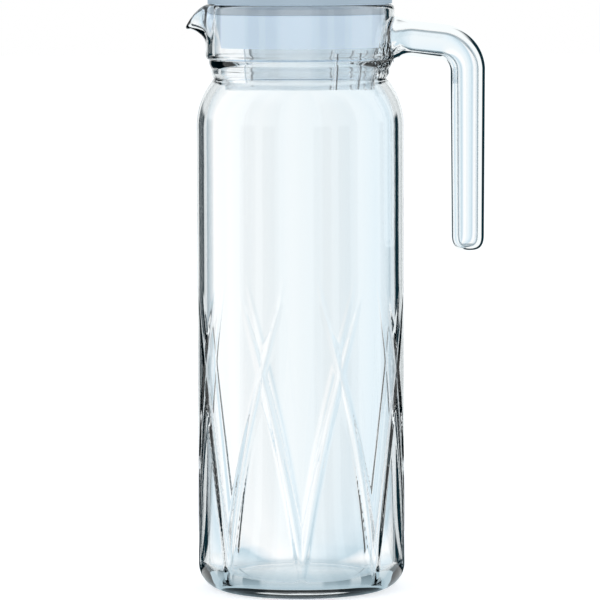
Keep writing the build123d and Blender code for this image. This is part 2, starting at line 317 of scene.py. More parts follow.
# %% [markdown]
# ## The floor
#
# The floor is a large pale sheet. It is matte and adds some light of its own, so that it reads as
# the white of the photograph and still keeps the jug's soft shadow. A plain floor would make the
# jug's edges pale where they show it, because the camera looks down a little. So rays that met
# glass get the same three pictures from the floor as from the world. Close under the jug the
# compass directions crowd together, and a soft blue-grey shade stands in for the pictures.

# %% Floor
FLOOR_HALF_SIZE = 8.0
FLOOR_COLOUR = (0.92, 0.93, 0.94, 1)
FLOOR_GLOW = 0.44
NEAR_FLOOR = (0.03, 0.058)
NEAR_FLOOR_SHADE = (0.42, 0.55, 0.62, 1)

floor_mesh = bpy.data.meshes.new("floor")
corners = [(-1, -1), (1, -1), (1, 1), (-1, 1)]
corners = [(x * FLOOR_HALF_SIZE, y * FLOOR_HALF_SIZE, 0) for x, y in corners]
floor_mesh.from_pydata(corners, [], [(0, 1, 2, 3)])
floor = bpy.data.objects.new("floor", floor_mesh)
bpy.context.scene.collection.objects.link(floor)
floor_material = bpy.data.materials.new("pale_floor")
floor_material.use_nodes = True
tree = floor_material.node_tree
tree.nodes.clear()
print("floor:", 2 * FLOOR_HALF_SIZE, "m square")

# %% Floor as it is lit
matte = add_node(tree, "ShaderNodeBsdfDiffuse")
matte.inputs["Color"].default_value = FLOOR_COLOUR
glow = add_node(tree, "ShaderNodeEmission")
glow.inputs["Color"].default_value = WHITE
glow.inputs["Strength"].default_value = FLOOR_GLOW
lit = add_node(tree, "ShaderNodeAddShader")
tree.links.new(matte.outputs[0], lit.inputs[0])
tree.links.new(glow.outputs[0], lit.inputs[1])
print("the floor's own light:", FLOOR_GLOW)

# %% Floor as the glass shows it
met_glass, shows_cards, shows_skin, scattered = ray_story(tree)
spot = add_node(tree, "ShaderNodeTexCoord").outputs["Object"]
spot_parts = split_vector(tree, spot)
sheet, cards, skin_cards = studio_round(tree, spot_parts["X"], spot_parts["Y"])
shown = mix_colour(tree, shows_cards, sheet, cards)
shown = mix_colour(tree, shows_skin, shown, skin_cards)
far_off = smooth_step(tree, vector_step(tree, "LENGTH", spot), *NEAR_FLOOR)
shown = mix_colour(tree, far_off, NEAR_FLOOR_SHADE, shown)
picture = add_node(tree, "ShaderNodeEmission")
tree.links.new(shown, picture.inputs["Color"])
unscattered = math_step(tree, "SUBTRACT", 1.0, scattered)
floor_mix = add_node(tree, "ShaderNodeMixShader")
tree.links.new(math_step(tree, "MULTIPLY", met_glass, unscattered), floor_mix.inputs[0])
tree.links.new(lit.outputs[0], floor_mix.inputs[1])
tree.links.new(picture.outputs[0], floor_mix.inputs[2])
floor_out = add_node(tree, "ShaderNodeOutputMaterial")
tree.links.new(floor_mix.outputs[0], floor_out.inputs[0])
floor_mesh.materials.append(floor_material)
print("floor tree:", len(tree.nodes), "nodes")


# %% [markdown]
# ## Two soft lamps
#
# Large lamps close to the jug give soft shading on the lid and a soft shadow on the floor. They
# could also be white planes that shine, but a lamp is cleaner to render. The glass doesn't show
# them, because a photographer would keep such bright squares out of it.

# %% Lamps
LAMP_AIM = (0, 0, 0.15)
LAMPS = {  # place, size across in metres, power in watts
    "lamp_left": ((-1.1, -1.2, 1.3), 1.2, 4),
    "lamp_top": ((0.3, 0.2, 1.6), 1.0, 1.5),
}

for name, (place, size, power) in LAMPS.items():
    lamp_data = bpy.data.lights.new(name, "AREA")
    lamp_data.size = size
    lamp_data.energy = power
    lamp = bpy.data.objects.new(name, lamp_data)
    bpy.context.scene.collection.objects.link(lamp)
    lamp.location = place
    lamp.rotation_mode = "QUATERNION"
    lamp.rotation_quaternion = (Vector(place) - Vector(LAMP_AIM)).to_track_quat("Z", "Y")
    lamp.visible_glossy = False
    lamp.visible_transmission = False

# %% [markdown]
# ## Clear glass
#
# Soda-lime glass bends light by an index of about 1.52 and looks faintly blue-green where it is
# thick. A real pressed jug isn't perfectly even: its surface has a slow ripple from the mould. A
# noise, read in Object coordinates, gives a small bump, and the fire-polished finish keeps the
# roughness near zero. The ripple could be modelled, but it is far finer than the mesh.
#
# The solid handle gets a second version. A thick rod bends light from far to the side into its
# edges, where the photograph is dark, and the cards above stand too near the middle for it. So a
# painted dark shade goes into its colour where it turns away from the eye, which Layer Weight
# gives; it is painted shade, not a tint of the glass. On the underside the painted shade is
# broader and ends before the edge.

# %% Glass and its painted edge shade
GLASS_INDEX = 1.52
GLASS_TINT = (0.985, 0.995, 0.998, 1)
RIPPLE_SCALE = 38
RIPPLE_HEIGHT = 0.00006
ROUGHEST_POLISH = 0.006
# painted shade for the rod's edges and underside, not a tint of the glass
PAINTED_EDGE_SHADE = (0.10, 0.15, 0.18, 1)
EDGE_BEGINS = (0.45, 0.62)
EDGE_ENDS = (0.52, 0.70)
UNDERSIDE = (0.2, 0.6)
UNDERSIDE_GAIN = 0.2


def painted_edge_shade_mask(tree):
    """How much painted shade a spot of the rod gets at its edges and underside, 0 to 1."""
    facing = add_node(tree, "ShaderNodeLayerWeight").outputs["Facing"]
    normal = split_vector(tree, add_node(tree, "ShaderNodeTexCoord").outputs["Normal"])
    under = smooth_step(tree, math_step(tree, "MULTIPLY", normal["Z"], -1.0), *UNDERSIDE)
    gained = math_step(tree, "MULTIPLY", under, UNDERSIDE_GAIN)
    begins = smooth_step(tree, math_step(tree, "ADD", facing, gained), *EDGE_BEGINS)
    ends = math_step(tree, "MULTIPLY", smooth_step(tree, facing, *EDGE_ENDS), under)
    return math_step(tree, "SUBTRACT", begins, ends)


# %% Glass materials
def glass_finish(name, edge_shade_paint=None):
    material = bpy.data.materials.new(name)
    material.use_nodes = True
    tree = material.node_tree
    shader = tree.nodes["Principled BSDF"]
    shader.inputs["Base Color"].default_value = GLASS_TINT
    if edge_shade_paint:
        # painted shade: the base colour darkens where the rod turns away and on its underside
        edge_shaded = mix_colour(tree, painted_edge_shade_mask(tree), GLASS_TINT, edge_shade_paint)
        tree.links.new(edge_shaded, shader.inputs["Base Color"])
    shader.inputs["Transmission Weight"].default_value = 1
    shader.inputs["IOR"].default_value = GLASS_INDEX
    ripple = add_node(tree, "ShaderNodeTexNoise")
    ripple.inputs["Scale"].default_value = RIPPLE_SCALE
    ripple.inputs["Detail"].default_value = 1
    where = add_node(tree, "ShaderNodeTexCoord").outputs["Object"]
    tree.links.new(where, ripple.inputs["Vector"])
    bump = add_node(tree, "ShaderNodeBump")
    bump.inputs["Distance"].default_value = RIPPLE_HEIGHT
    tree.links.new(ripple.outputs["Fac"], bump.inputs["Height"])
    tree.links.new(bump.outputs[0], shader.inputs["Normal"])
    polish = map_value(tree, ripple.outputs["Fac"], 0.0, 1.0, 0.0, ROUGHEST_POLISH)
    tree.links.new(polish, shader.inputs["Roughness"])
    return material


clear_glass = glass_finish("clear_glass")
# the handle's glass carries the painted edge shade
rod_glass_painted_edge = glass_finish("rod_glass_painted_edge", PAINTED_EDGE_SHADE)
print("glass:", clear_glass.name, rod_glass_painted_edge.name)

# %% [markdown]
# ## The outer line of the vessel
#
# A pressed and blown jug is a turned form, so its wall is a line spun round the axis. Blender's
# Spin or a Screw modifier could turn it, but the lip and the flutes break the round, so the
# line is kept as a list of points and each upright slice may differ. The outer line goes from the
# middle of the base, which is a little hollow, round the base corner, up the wall, over the
# shoulder and two small swollen rings to the collar. Each bend is an arc with enough points
# that the glass shows no facets.

# %% Helpers for lines
def arc(centre, radius, start, end, count):
    """Points on an arc in the (radius, height) plane, angles in degrees, both ends included."""
    turns = np.radians(np.linspace(start, end, count))
    return [(centre[0] + radius * math.cos(a), centre[1] + radius * math.sin(a)) for a in turns]


def run(start, end, count):
    """Evenly spaced points after the start, up to and including the end."""
    (x, z), (to_x, to_z) = start, end
    return [(x + (to_x - x) * s, z + (to_z - z) * s) for s in np.linspace(0, 1, count + 1)[1:]]


def shoulder_turn(radius, from_radius, to_radius):
    """Degrees that the shoulder's arc turns on its way in from one radius to the other."""
    return math.degrees(math.acos((radius - (from_radius - to_radius)) / radius))


# %% Outer line up to the waist
BODY_RADIUS = 45.0
BASE_CORNER = 11.0
BASE_LINE = [(0.5, 0.35), (12, 0.3), (24, 0.18), (32, 0.0)]
SHOULDER_FOOT = 202.1
SHOULDER_RADIUS = 32.0
WAIST_RADIUS = 37.4
FLUTE_ROW = 2.0
FLUTE_ZONE_TOP = 136.0
WALL_ROWS = 8
WALL_GAP = 3  # the last row of the wall keeps this far from the shoulder's arc
ARC_POINTS = 15

outer = list(BASE_LINE)
outer += arc((BODY_RADIUS - BASE_CORNER, BASE_CORNER), BASE_CORNER, -90, 0, ARC_POINTS)
flute_rows = int((FLUTE_ZONE_TOP - BASE_CORNER) / FLUTE_ROW)
outer += run((BODY_RADIUS, BASE_CORNER), (BODY_RADIUS, FLUTE_ZONE_TOP), flute_rows)
outer += run((BODY_RADIUS, FLUTE_ZONE_TOP), (BODY_RADIUS, SHOULDER_FOOT - WALL_GAP), WALL_ROWS)
shoulder_centre = (BODY_RADIUS - SHOULDER_RADIUS, SHOULDER_FOOT)
waist_turn = shoulder_turn(SHOULDER_RADIUS, BODY_RADIUS, WAIST_RADIUS)
outer += arc(shoulder_centre, SHOULDER_RADIUS, 0, waist_turn, ARC_POINTS)
waist_height = outer[-1][1]
print("waist", round(waist_height, 1), "mm up, with", flute_rows, "rows for the flutes")

# %% Rings and collar
COLLAR_RADIUS = 40.9
COLLAR_FOOT = 231.0
COLLAR_FOOT_RADIUS = 39.4
COLLAR_FOOT_LINE = [(39.75, 231.05), (40.4, 231.35), (40.8, 231.9), (COLLAR_RADIUS, 232.6)]
LIP_FOOT = 237.0
LIP_GAP = 0.6
RINGS = 2
RING_ROWS = 8
RING_SWELL = 0.45

ring_height = (COLLAR_FOOT - waist_height) / RINGS
ring_step = (COLLAR_FOOT_RADIUS - WAIST_RADIUS) / RINGS
for ring in range(RINGS):
    for share in np.linspace(0, 1, RING_ROWS + 1)[1:]:
        swell = RING_SWELL * 4 * share * (1 - share)  # a parabola, full at the middle
        radius = WAIST_RADIUS + ring_step * (ring + share) + swell
        outer.append((radius, waist_height + ring_height * (ring + share)))
outer += COLLAR_FOOT_LINE
outer += run(COLLAR_FOOT_LINE[-1], (COLLAR_RADIUS, LIP_FOOT - LIP_GAP), WALL_ROWS)
print("outer line:", len(outer), "points up to the collar at", outer[-1])

# %% [markdown]
# ## The inner line of the vessel
#
# The inside follows the outside at a wall of 3.8 mm, with a narrower throat under the collar
# that guides the lid's skirt, and ends at the floor, whose corner is softer than the base's. An
# offset of the outer line, as the Solidify modifier makes, would be wrong here, because the
# plunger that presses the inside has its own shape.

# %% Inner line
INNER_RADIUS = 41.2
FLOOR_THICKNESS = 5.5
INNER_CORNER = 8.0
INNER_CORNER_POINTS = 12
NECK_RADIUS = 37.5
NECK_FOOT = 233.2
NECK_LIP_FOOT = 238.5
NECK_ROWS = 4
THROAT_RADIUS = 34.1
THROAT_LINE = [
    (37.3, 232.4), (36.8, 231.7), (35.9, 230.4), (35.1, 229.3), (34.7, 228.5), (34.5, 227.5)
]
FLOOR_LINE = [(25, 5.55), (12, 5.75), (0.5, 5.85)]

inner_shoulder = SHOULDER_RADIUS - (BODY_RADIUS - INNER_RADIUS)
throat_turn = shoulder_turn(inner_shoulder, INNER_RADIUS, THROAT_RADIUS)
throat = arc(shoulder_centre, inner_shoulder, throat_turn, 0, ARC_POINTS)
corner_top = FLOOR_THICKNESS + INNER_CORNER
corner_centre = (INNER_RADIUS - INNER_CORNER, corner_top)
inner = run((NECK_RADIUS, NECK_LIP_FOOT), (NECK_RADIUS, NECK_FOOT), NECK_ROWS)
inner += THROAT_LINE
inner += run(THROAT_LINE[-1], throat[0], NECK_ROWS) + throat[1:]
inner += run((INNER_RADIUS, SHOULDER_FOOT), (INNER_RADIUS, corner_top), WALL_ROWS)
inner += arc(corner_centre, INNER_CORNER, 0, -90, INNER_CORNER_POINTS)[1:]
inner += FLOOR_LINE
print("inner line:", len(inner), "points down to the floor")

# %% [markdown]
# ## The pouring lip
#
# The lip is pulled out of the hot collar with a paddle, so its wall stays in one piece with the
# rim. It could be sculpted, but a rule keeps it smooth and easy to change. Each upright slice of
# the collar is a curve up the outside, half a turn round the rim and a curve down the inside.
# Towards -X the end of that curve is drawn outwards and its edge droops. A share from 0 to
# 1 says how far, and falls off smoothly to both sides, so that no seam shows where the lip
# leaves the rim. The pairs below hold a value at the rim and one at the lip's tip.

# %% Numbers of the lip
RIM_FOOT = 253.2
LIP_REACH = 7.6
LIP_DROOP = 9.2
LIP_SPREAD = math.radians(21)
LIP_TURN = math.radians(82)
LIP_SIDES = 2.6
TURN_POWER = 0.9
DROOP_POWER = 2.1
SHEET_ROWS = 14
RIM_ROWS = 8
HALF_WALL = (1.7, 1.15)
OUTER_FOOT_PULL = (5.4, 4.2)
OUTER_EDGE_PULL = (5.4, 4.6)
INNER_EDGE_PULL = (4.9, 5.6)
INNER_FOOT_PULL = (4.9, 4.4)
print("the lip spreads over", round(2 * math.degrees(LIP_SPREAD)), "degrees")


# %% Slice through the collar and the lip
def bezier(points, count):
    """Points on the curve with two ends and the two pulls between them."""
    steps = np.linspace(0, 1, count)[:, None]
    a, b, c, d = (np.array(p, float) for p in points)
    rest = 1 - steps
    return a * rest**3 + 3 * b * rest**2 * steps + 3 * c * rest * steps**2 + d * steps**3


def between(share, at_rim, at_tip):
    return at_rim + (at_tip - at_rim) * share


def collar_slice(share):
    """(radius, height) points up the outside, round the rim and down the inside."""
    turn = LIP_TURN * share**TURN_POWER
    along = np.array([math.sin(turn), math.cos(turn)])
    across = np.array([-math.cos(turn), math.sin(turn)])
    up = np.array([0, 1.0])
    foot = np.array([COLLAR_RADIUS, LIP_FOOT])
    edge_height = RIM_FOOT - LIP_DROOP * share**DROOP_POWER
    edge = np.array([COLLAR_RADIUS + LIP_REACH * share, edge_height])
    from_foot = foot + up * between(share, *OUTER_FOOT_PULL)
    to_edge = edge - along * between(share, *OUTER_EDGE_PULL)
    outside = bezier([foot, from_foot, to_edge, edge], SHEET_ROWS)

    half_wall = between(share, *HALF_WALL)
    middle = edge + across * half_wall
    turns = np.linspace(0, math.pi, RIM_ROWS + 2)[1:-1]
    rim = [middle + half_wall * (along * math.sin(a) - across * math.cos(a)) for a in turns]

    inner_edge = edge + across * 2 * half_wall
    inner_foot = np.array([NECK_RADIUS, NECK_LIP_FOOT])
    from_edge = inner_edge - along * between(share, *INNER_EDGE_PULL)
    to_foot = inner_foot + up * between(share, *INNER_FOOT_PULL)
    inside = bezier([inner_edge, from_edge, to_foot, inner_foot], SHEET_ROWS)
    return np.vstack([outside, rim, inside])


def lip_share(angle):
    """How much of the lip there is at this angle round the axis. Its middle is at pi."""
    off = abs(angle % (2 * math.pi) - math.pi) / LIP_SPREAD
    return (1 - off**LIP_SIDES) ** 2 if off < 1 else 0.0


print("tip of the lip", collar_slice(1.0)[SHEET_ROWS + RIM_ROWS // 2].round(1))

# %% [markdown]
# ## The flutes
#
# Sixteen shallow flutes are pressed into the outside. They start in pairs at eight points round
# the base, lean apart, cross their neighbours and fade out at mid height, so they read as tall
# leaves. Sixteen bent bars could be cut out with Boolean modifiers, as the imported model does,
# but that leaves ragged triangles, which glass shows. The pattern follows a rule, so Geometry
# Nodes cut it: for every point of the outer wall the tree works out how far it is from the nearest
# flute's line, and moves the point in by the depth that a round tool has there. All the numbers of
# the rule are named inputs, in millimetres and degrees.

# %% Numbers of the flutes
FLUTES = {
    "Points Round": 8,
    "Tool Radius": 3.0,
    "Foot Height": 11.0,
    "Top Height": 133.0,
    "Foot Depth": 0.8,
    "Top Depth": 0.4,
    "Fade In Length": 4.5,
    "Fade Out Length": 36.0,
    "Fade Out Power": 0.8,
    "Lean": 0.175,
    "Bend": 0.000987,
    "Line Width Share": 0.97,
    "Wall From Radius": 43.0,
}

heights = np.arange(FLUTES["Foot Height"], FLUTES["Top Height"])
risen = heights - FLUTES["Foot Height"]
swings = FLUTES["Lean"] * risen + FLUTES["Bend"] * risen**2
meeting = float(np.interp(180 / FLUTES["Points Round"], swings, heights))
print("flutes meet their neighbours", round(meeting), "mm up")


# %% Depth and swing of a flute
def groove_depth(tree, given, height):
    """The depth of the groove at this height, faded at both ends."""
    foot, top = given["Foot Height"], given["Top Height"]
    depth = map_value(tree, height, foot, top, given["Foot Depth"], given["Top Depth"])
    fade_from = math_step(tree, "SUBTRACT", foot, given["Fade In Length"])
    fade_in = map_value(tree, height, fade_from, foot, 0.0, 1.0)
    from_top = math_step(tree, "SUBTRACT", top, height)
    from_top = math_step(tree, "DIVIDE", from_top, given["Fade Out Length"])
    fade_out = map_value(tree, from_top, 0.0, 1.0, 0.0, 1.0)
    fade_out = math_step(tree, "POWER", fade_out, given["Fade Out Power"])
    return math_step(tree, "MULTIPLY", depth, math_step(tree, "MULTIPLY", fade_in, fade_out))


def flute_swing(tree, given, height):
    """The angle that a flute has moved round from its foot at this height."""
    climb = math_step(tree, "SUBTRACT", height, given["Foot Height"])
    lean = math_step(tree, "MULTIPLY", climb, given["Lean"])
    bend = math_step(tree, "MULTIPLY", math_step(tree, "MULTIPLY", climb, climb), given["Bend"])
    return math_step(tree, "RADIANS", math_step(tree, "ADD", lean, bend))


def groove_cut(tree, given, off, radius, depth):
    """How deep the round tool cuts at this angle off the flute's line."""
    tool = given["Tool Radius"]
    gap = math_step(tree, "MULTIPLY", off, radius)
    gap = math_step(tree, "MULTIPLY", gap, given["Line Width Share"])
    square = math_step(tree, "MULTIPLY", tool, tool)
    inside = math_step(tree, "SUBTRACT", square, math_step(tree, "MULTIPLY", gap, gap))
    round_part = math_step(tree, "SQRT", math_step(tree, "MAXIMUM", inside, 0.0))
    return math_step(tree, "SUBTRACT", math_step(tree, "ADD", round_part, depth), tool)


# %% How far a point moves in
def flute_shift(tree, given):
    """The way that a point of the outer wall is moved, which is nothing between the flutes."""
    place = add_node(tree, "GeometryNodeInputPosition").outputs[0]
    in_mm = vector_step(tree, "SCALE", place, 1 / MM)
    flat = vector_step(tree, "MULTIPLY", in_mm, (1, 1, 0))
    radius = vector_step(tree, "LENGTH", flat)
    parts = split_vector(tree, in_mm)
    angle = math_step(tree, "ARCTAN2", parts["Y"], parts["X"])
    depth = groove_depth(tree, given, parts["Z"])
    swing = flute_swing(tree, given, parts["Z"])
    period = math_step(tree, "DIVIDE", 2 * math.pi, given["Points Round"])
    half = math_step(tree, "MULTIPLY", period, 0.5)
    cuts = []
    for lean_to in ("SUBTRACT", "ADD"):
        from_line = wrapped(tree, math_step(tree, lean_to, angle, swing), period)
        off = math_step(tree, "SUBTRACT", from_line, half)
        cuts.append(groove_cut(tree, given, off, radius, depth))
    cut = math_step(tree, "MAXIMUM", math_step(tree, "MAXIMUM", *cuts), 0.0)
    on_wall = math_step(tree, "GREATER_THAN", radius, given["Wall From Radius"])
    inwards = math_step(tree, "MULTIPLY", math_step(tree, "MULTIPLY", cut, on_wall), -MM)
    return vector_step(tree, "SCALE", vector_step(tree, "NORMALIZE", flat), inwards)


# %% Tree of the flutes
def flute_tree():
    tree = bpy.data.node_groups.new("leaf_flutes", "GeometryNodeTree")
    face = tree.interface
    face.new_socket("Wall", in_out="INPUT", socket_type="NodeSocketGeometry")
    for name, value in FLUTES.items():
        socket = face.new_socket(name, in_out="INPUT", socket_type="NodeSocketFloat")
        socket.default_value = value
    face.new_socket("Glass", in_out="INPUT", socket_type="NodeSocketMaterial")
    face.new_socket("Fluted Wall", in_out="OUTPUT", socket_type="NodeSocketGeometry")
    given = add_node(tree, "NodeGroupInput").outputs
    move = add_node(tree, "GeometryNodeSetPosition")
    tree.links.new(given["Wall"], move.inputs["Geometry"])
    tree.links.new(flute_shift(tree, given), move.inputs["Offset"])
    real = add_node(tree, "GeometryNodeRealizeInstances")
    tree.links.new(move.outputs[0], real.inputs[0])
    coat = add_node(tree, "GeometryNodeSetMaterial")
    tree.links.new(real.outputs[0], coat.inputs["Geometry"])
    tree.links.new(given["Glass"], coat.inputs["Material"])
    tree.links.new(coat.outputs[0], add_node(tree, "NodeGroupOutput").inputs[0])
    return tree


leaf_flutes = flute_tree()
print("flute tree:", len(leaf_flutes.nodes), "nodes")

# %% [markdown]
# ## Folds round the joint
#
# Where the handle was pressed on, the skin of both pieces is crinkled, because cool glass folds
# over hot glass. The folds could be a bump in the material, but they are deep enough to catch
# the light from all sides, so they are real. A few sine waves in random directions, with a fixed
# seed, are added up. The collar gets them in a patch round the handle, and the handle's foot
# gets the same ones.

# %% Folds
FOLD_SEED = 7
WAVE_COUNT = 14
WAVE_FINENESS = 2.1
PHASE_SPAN = 6.28
rng = np.random.default_rng(FOLD_SEED)
CRINKLE_WAVES = [
    (rng.uniform(-1, 1, 3) * WAVE_FINENESS, rng.uniform(0, PHASE_SPAN)) for _ in range(WAVE_COUNT)
]
WAVES_TO_ONE = 5  # the waves seldom add up to more than this
WELD_HALF_WIDTH = 24.0
WELD_FADE = 9.0
WELD_MIDDLE = 232.4
WELD_HALF_HEIGHT = 9.0
WELD_ROUNDNESS = 0.6
WELD_SWELL = 0.2
WELD_FOLD = 0.36


def crinkle(x, y, z):
    """Folds in the skin of the hot joint, between about -1 and 1, for points in mm."""
    waves = (np.sin(w[0] * x + w[1] * y + w[2] * z + phase) for w, phase in CRINKLE_WAVES)
    return sum(waves) / WAVES_TO_ONE


def weld_fold(angle, height):
    """Millimetres that the joint adds to the collar's skin, for arrays of angle and height."""
    side = np.abs((angle + math.pi) % (2 * math.pi) - math.pi) * COLLAR_RADIUS
    sideways = np.clip((WELD_HALF_WIDTH - side) / WELD_FADE, 0, 1)
    upright = np.clip(1 - ((height - WELD_MIDDLE) / WELD_HALF_HEIGHT) ** 2, 0, 1)
    x, y = COLLAR_RADIUS * np.cos(angle), COLLAR_RADIUS * np.sin(angle)
    folds = WELD_SWELL + WELD_FOLD * crinkle(x, y, height)
    return sideways * upright**WELD_ROUNDNESS * folds


print("folds from", WAVE_COUNT, "waves, over", 2 * WELD_HALF_WIDTH, "mm of the collar")

# %% [markdown]
# ## The glass vessel
#
# All slices have the same number of points, so the vessel is one grid: columns round the axis and
# rows along the line, closed by fans at the middle of the base and of the floor. A grid of quads
# bends evenly under the flutes, where triangles from a solid would show. Columns are 0.65 mm
# apart, fine enough for the flutes.

# %% Mesh helpers
def mesh_piece(name, vertices, faces, material=None):
    mesh = bpy.data.meshes.new(name)
    mesh.from_pydata([tuple(v) for v in vertices], [], faces)
    mesh.validate()
    if material:
        mesh.materials.append(material)
    mesh.polygons.foreach_set("use_smooth", [True] * len(mesh.polygons))
    mesh.update()
    piece = bpy.data.objects.new(name, mesh)
    bpy.context.scene.collection.objects.link(piece)
    return piece


def grid_faces(rows, columns):
    """Quads of a grid that closes on itself round its columns."""
    faces = []
    for row in range(rows - 1):
        low, high = row * columns, (row + 1) * columns
        for column in range(columns):
            beside = (column + 1) % columns
            faces.append((low + column, low + beside, high + beside, high + column))
    return faces


def run_tree(piece, tree, values):
    """Runs the tree on the piece with these inputs and keeps the result as a plain mesh."""
    modifier = piece.modifiers.new(tree.name, "NODES")
    modifier.node_group = tree
    for item in tree.interface.items_tree:
        if item.in_out == "INPUT" and item.name in values:
            modifier[item.identifier] = values[item.name]
    bpy.context.view_layer.update()
    graph = bpy.context.evaluated_depsgraph_get()
    made = bpy.data.meshes.new_from_object(piece.evaluated_get(graph))
    piece.modifiers.remove(modifier)
    plain, piece.data = piece.data, made
    bpy.data.meshes.remove(plain)
    made.name = piece.name


# %% Vessel
COLUMNS = 432

angles = np.arange(COLUMNS) * 2 * math.pi / COLUMNS
wall = np.array([np.vstack([outer, collar_slice(lip_share(a)), inner]) for a in angles])
rows = wall.shape[1]
radius, height = wall[:, :, 0], wall[:, :, 1]
# only the outside folds, and its last two points keep the rim smooth
on_outside = np.arange(rows) < len(outer) + SHEET_ROWS - 2
spread = np.repeat(angles[:, None], rows, axis=1)
radius = radius + np.where(on_outside, weld_fold(spread, height), 0)
points = np.stack([radius * np.cos(spread), radius * np.sin(spread), height], axis=2) * MM
vertices = points.transpose(1, 0, 2).reshape(-1, 3)
base_middle, floor_middle = len(vertices), len(vertices) + 1
middles = [(0, 0, outer[0][1] * MM), (0, 0, inner[-1][1] * MM)]
vertices = np.vstack([vertices, middles])
faces = grid_faces(rows, COLUMNS)
last = (rows - 1) * COLUMNS
for column in range(COLUMNS):
    beside = (column + 1) % COLUMNS
    faces.append((base_middle, beside, column))
    faces.append((floor_middle, last + column, last + beside))

vessel = mesh_piece("jug_vessel", vertices, faces)
run_tree(vessel, leaf_flutes, {**FLUTES, "Glass": clear_glass})
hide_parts("glass_body")
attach(vessel, "jug")
print("vessel:", len(vertices), "points,", len(faces) * 2, "triangles")

# %% [markdown]
# ## The handle's line
#
# The handle is a solid rod of a second gather of glass, oval in section. It leaves the collar
# with a spread foot, falls a little, turns down and ends free. A curve object with a bevel could
# make it, but its foot has to spread and to fit the collar. So its middle line is worked
# out here, two straight runs and a bend, and the next cell carries an oval along it.

# %% Handle line
ARM_HEIGHT = 240.7
ARM_SLOPE = math.radians(6.5)
HANDLE_REACH = 72.75
BEND_RADIUS = 12.5
LEG_BOTTOM = 147.7
DOME_HEIGHT = 6.0
DOWNWARDS = -math.pi / 2
SUNK = 0.3
ARM_STATIONS, BEND_STATIONS, LEG_STATIONS = 27, 25, 22

corner_height = ARM_HEIGHT - (HANDLE_REACH - COLLAR_RADIUS) * math.tan(ARM_SLOPE)
bend_turn = math.pi / 2 - ARM_SLOPE
tangent_length = BEND_RADIUS * math.tan(bend_turn / 2)
arm_end_x = HANDLE_REACH - tangent_length * math.cos(ARM_SLOPE)
arm_end_z = corner_height + tangent_length * math.sin(ARM_SLOPE)
bend_x = arm_end_x - BEND_RADIUS * math.sin(ARM_SLOPE)
bend_z = arm_end_z - BEND_RADIUS * math.cos(ARM_SLOPE)


def handle_line():
    """Points (x, z) of the middle line, each with its direction of travel."""
    stations = []
    start = COLLAR_RADIUS - SUNK
    for share in np.linspace(0, 1, ARM_STATIONS):
        x = start + (arm_end_x - start) * share
        z = ARM_HEIGHT - (x - COLLAR_RADIUS) * math.tan(ARM_SLOPE)
        stations.append((x, z, -ARM_SLOPE))
    for share in np.linspace(0, 1, BEND_STATIONS)[1:]:
        turn = ARM_SLOPE + bend_turn * share
        x = bend_x + BEND_RADIUS * math.sin(turn)
        z = bend_z + BEND_RADIUS * math.cos(turn)
        stations.append((x, z, -turn))
    leg_top = stations[-1][1]
    leg_end = LEG_BOTTOM + DOME_HEIGHT
    for share in np.linspace(0, 1, LEG_STATIONS)[1:]:
        stations.append((HANDLE_REACH, leg_top + (leg_end - leg_top) * share, DOWNWARDS))
    return stations


stations = handle_line()
print("handle line:", len(stations), "stations")

# %% [markdown]
# ## The handle's rod
#
# An oval ring stands at each station of the line. Near the collar the rings grow wider, more so
# downwards, and bend back to follow its round, which is how soft glass spreads when it is pressed
# on. Down the leg they shrink a little. The first ring lies 0.3 mm inside the collar's skin:
# glass that overlaps shows no joint, and glass that only touches would show a mirror there.

# %% Rings of the rod
AROUND = 96
HANDLE_HALF_WIDTH = 8.5
HANDLE_HALF_THICKNESS = 7.7
TIP_SHARE = 0.92
TAPER_TOP = 235.0
ROOT_HALF_WIDTH = 13.3
ROOT_LENGTH = 8.0
LOW_ROOT_LENGTH = 6.0
ROOT_RISE = 1.2
ROOT_DROP = 3.6
FOLLOW_POWER = 1.5


def rod_ring(x, z, heading):
    """The oval ring of points that stands across the line at this station."""
    out = x - COLLAR_RADIUS if heading == -ARM_SLOPE else ROOT_LENGTH
    near_root = max(0.0, 1 - out / ROOT_LENGTH)
    flare = near_root**2
    low_flare = max(0.0, 1 - out / LOW_ROOT_LENGTH) ** 2
    taper = 1
    if heading == DOWNWARDS:
        taper -= (1 - TIP_SHARE) * max(0.0, (TAPER_TOP - z) / (TAPER_TOP - LEG_BOTTOM))
    half_width = (HANDLE_HALF_WIDTH + (ROOT_HALF_WIDTH - HANDLE_HALF_WIDTH) * flare) * taper
    ring = []
    for step in range(AROUND):
        turn = 2 * math.pi * step / AROUND
        side, rise = math.sin(turn) * half_width, math.cos(turn)
        spread_out = ROOT_RISE * flare if rise > 0 else ROOT_DROP * low_flare
        lift = rise * (HANDLE_HALF_THICKNESS + spread_out) * taper
        follow = 0.0
        if out < ROOT_LENGTH:
            follow = COLLAR_RADIUS - math.sqrt(COLLAR_RADIUS**2 - side**2)
        px = x - math.sin(heading) * lift - follow * near_root**FOLLOW_POWER
        ring.append(np.array([px, side, z + math.cos(heading) * lift]))
    return ring


handle_vertices = [vertex for station in stations for vertex in rod_ring(*station)]
print("rod:", len(handle_vertices), "points")

# %% [markdown]
# ## Folds in the handle's foot
#
# The foot takes the folds of the joint, strongest on its lower side and gone 5 mm out. They push
# each point away from the foot's middle, so that the skin wrinkles and the rod keeps its line. A
# Displace modifier could do it with a texture, but it knows nothing of the collar's round, and the
# folds have to start just outside it.

# %% Folded foot
FOLD_REACH = 5.0
FOLD_SIZE = 0.45
FOLD_FORWARD = 0.6
FOLD_FROM, FOLD_FULL = -0.1, 0.7
FOLD_ABOVE = 3
FOLD_LOWER_OVER = 6
FOLD_LEAST = 0.15
TINY = 1e-6

